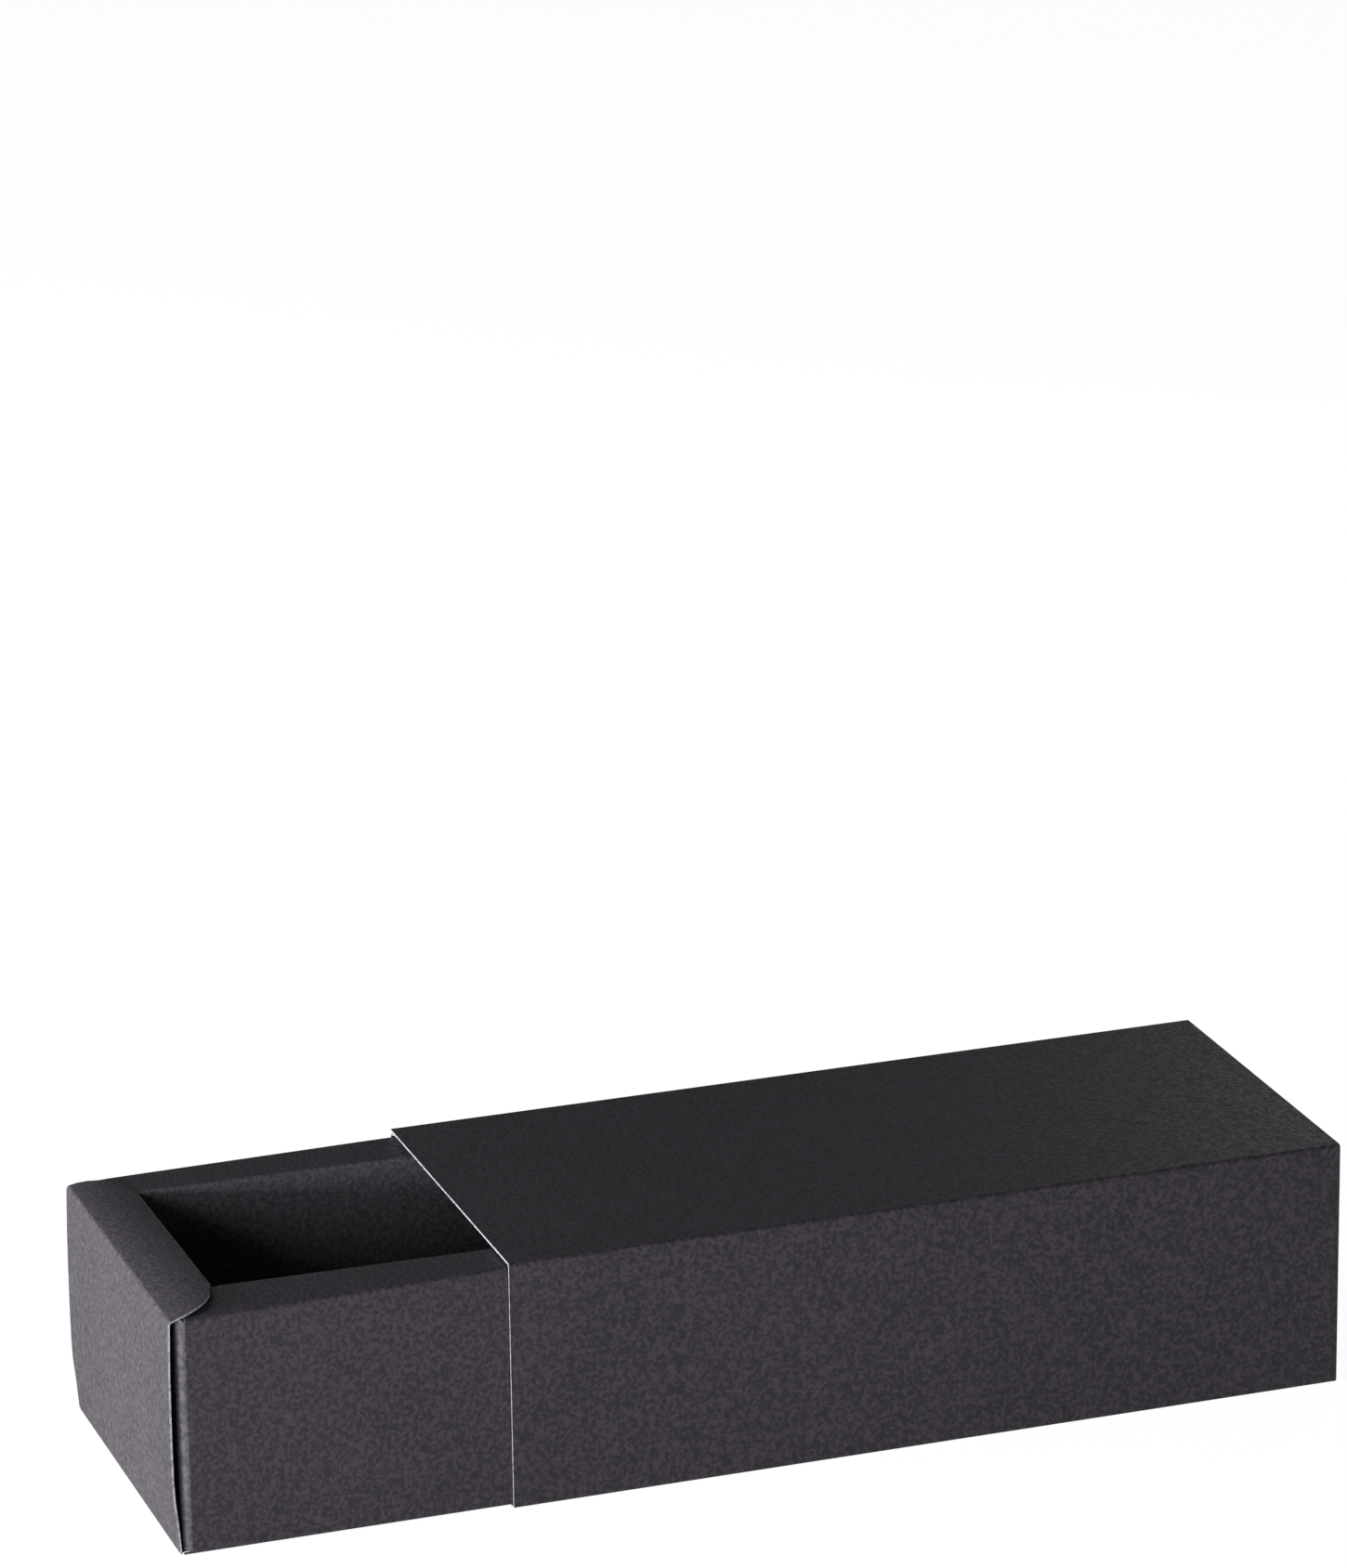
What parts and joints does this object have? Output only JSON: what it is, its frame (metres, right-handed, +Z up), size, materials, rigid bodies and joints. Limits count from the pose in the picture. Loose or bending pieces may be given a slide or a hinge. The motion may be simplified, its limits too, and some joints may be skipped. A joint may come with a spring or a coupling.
{
  "type": "sliding drawer gift box",
  "caption": "Sliding drawer gift box: an open-ended sleeve of black pearlescent card round a hollow-walled tray that slides out of one end.",
  "frame": {"origin": "centre of the sleeve's underside, the face that the box lies on", "axes": "+Y along the sleeve, away from the open drawer; +X to the right of a person facing the drawer; +Z up"},
  "size_m": [0.075, 0.2364, 0.05],
  "materials": {
    "sleeve_card": "satin",
    "drawer_card": "satin",
    "dried_glue": "satin"
  },
  "bodies": {
    "sleeve": {"sleeve_bottom": "sleeve_card", "sleeve_glue": "dried_glue", "sleeve_glue_flap": "sleeve_card", "sleeve_left_side": "sleeve_card", "sleeve_right_side": "sleeve_card", "sleeve_top": "sleeve_card"},
    "drawer": {"drawer_back_inner_wall": "drawer_card", "drawer_back_left_dust_flap": "drawer_card", "drawer_back_outer_wall": "drawer_card", "drawer_back_right_dust_flap": "drawer_card", "drawer_back_rim": "drawer_card", "drawer_floor": "drawer_card", "drawer_front_inner_wall": "drawer_card", "drawer_front_left_dust_flap": "drawer_card", "drawer_front_outer_wall": "drawer_card", "drawer_front_right_dust_flap": "drawer_card", "drawer_front_rim": "drawer_card", "drawer_left_inner_wall": "drawer_card", "drawer_left_outer_wall": "drawer_card", "drawer_left_rim": "drawer_card", "drawer_right_inner_wall": "drawer_card", "drawer_right_outer_wall": "drawer_card", "drawer_right_rim": "drawer_card"}
  },
  "joints": [
    {"name": "drawer_slide", "type": "slide", "parent": "sleeve", "child": "drawer", "axis": [0, -1, 0], "range_m": [-0.0669, 0.1076]}
  ]
}
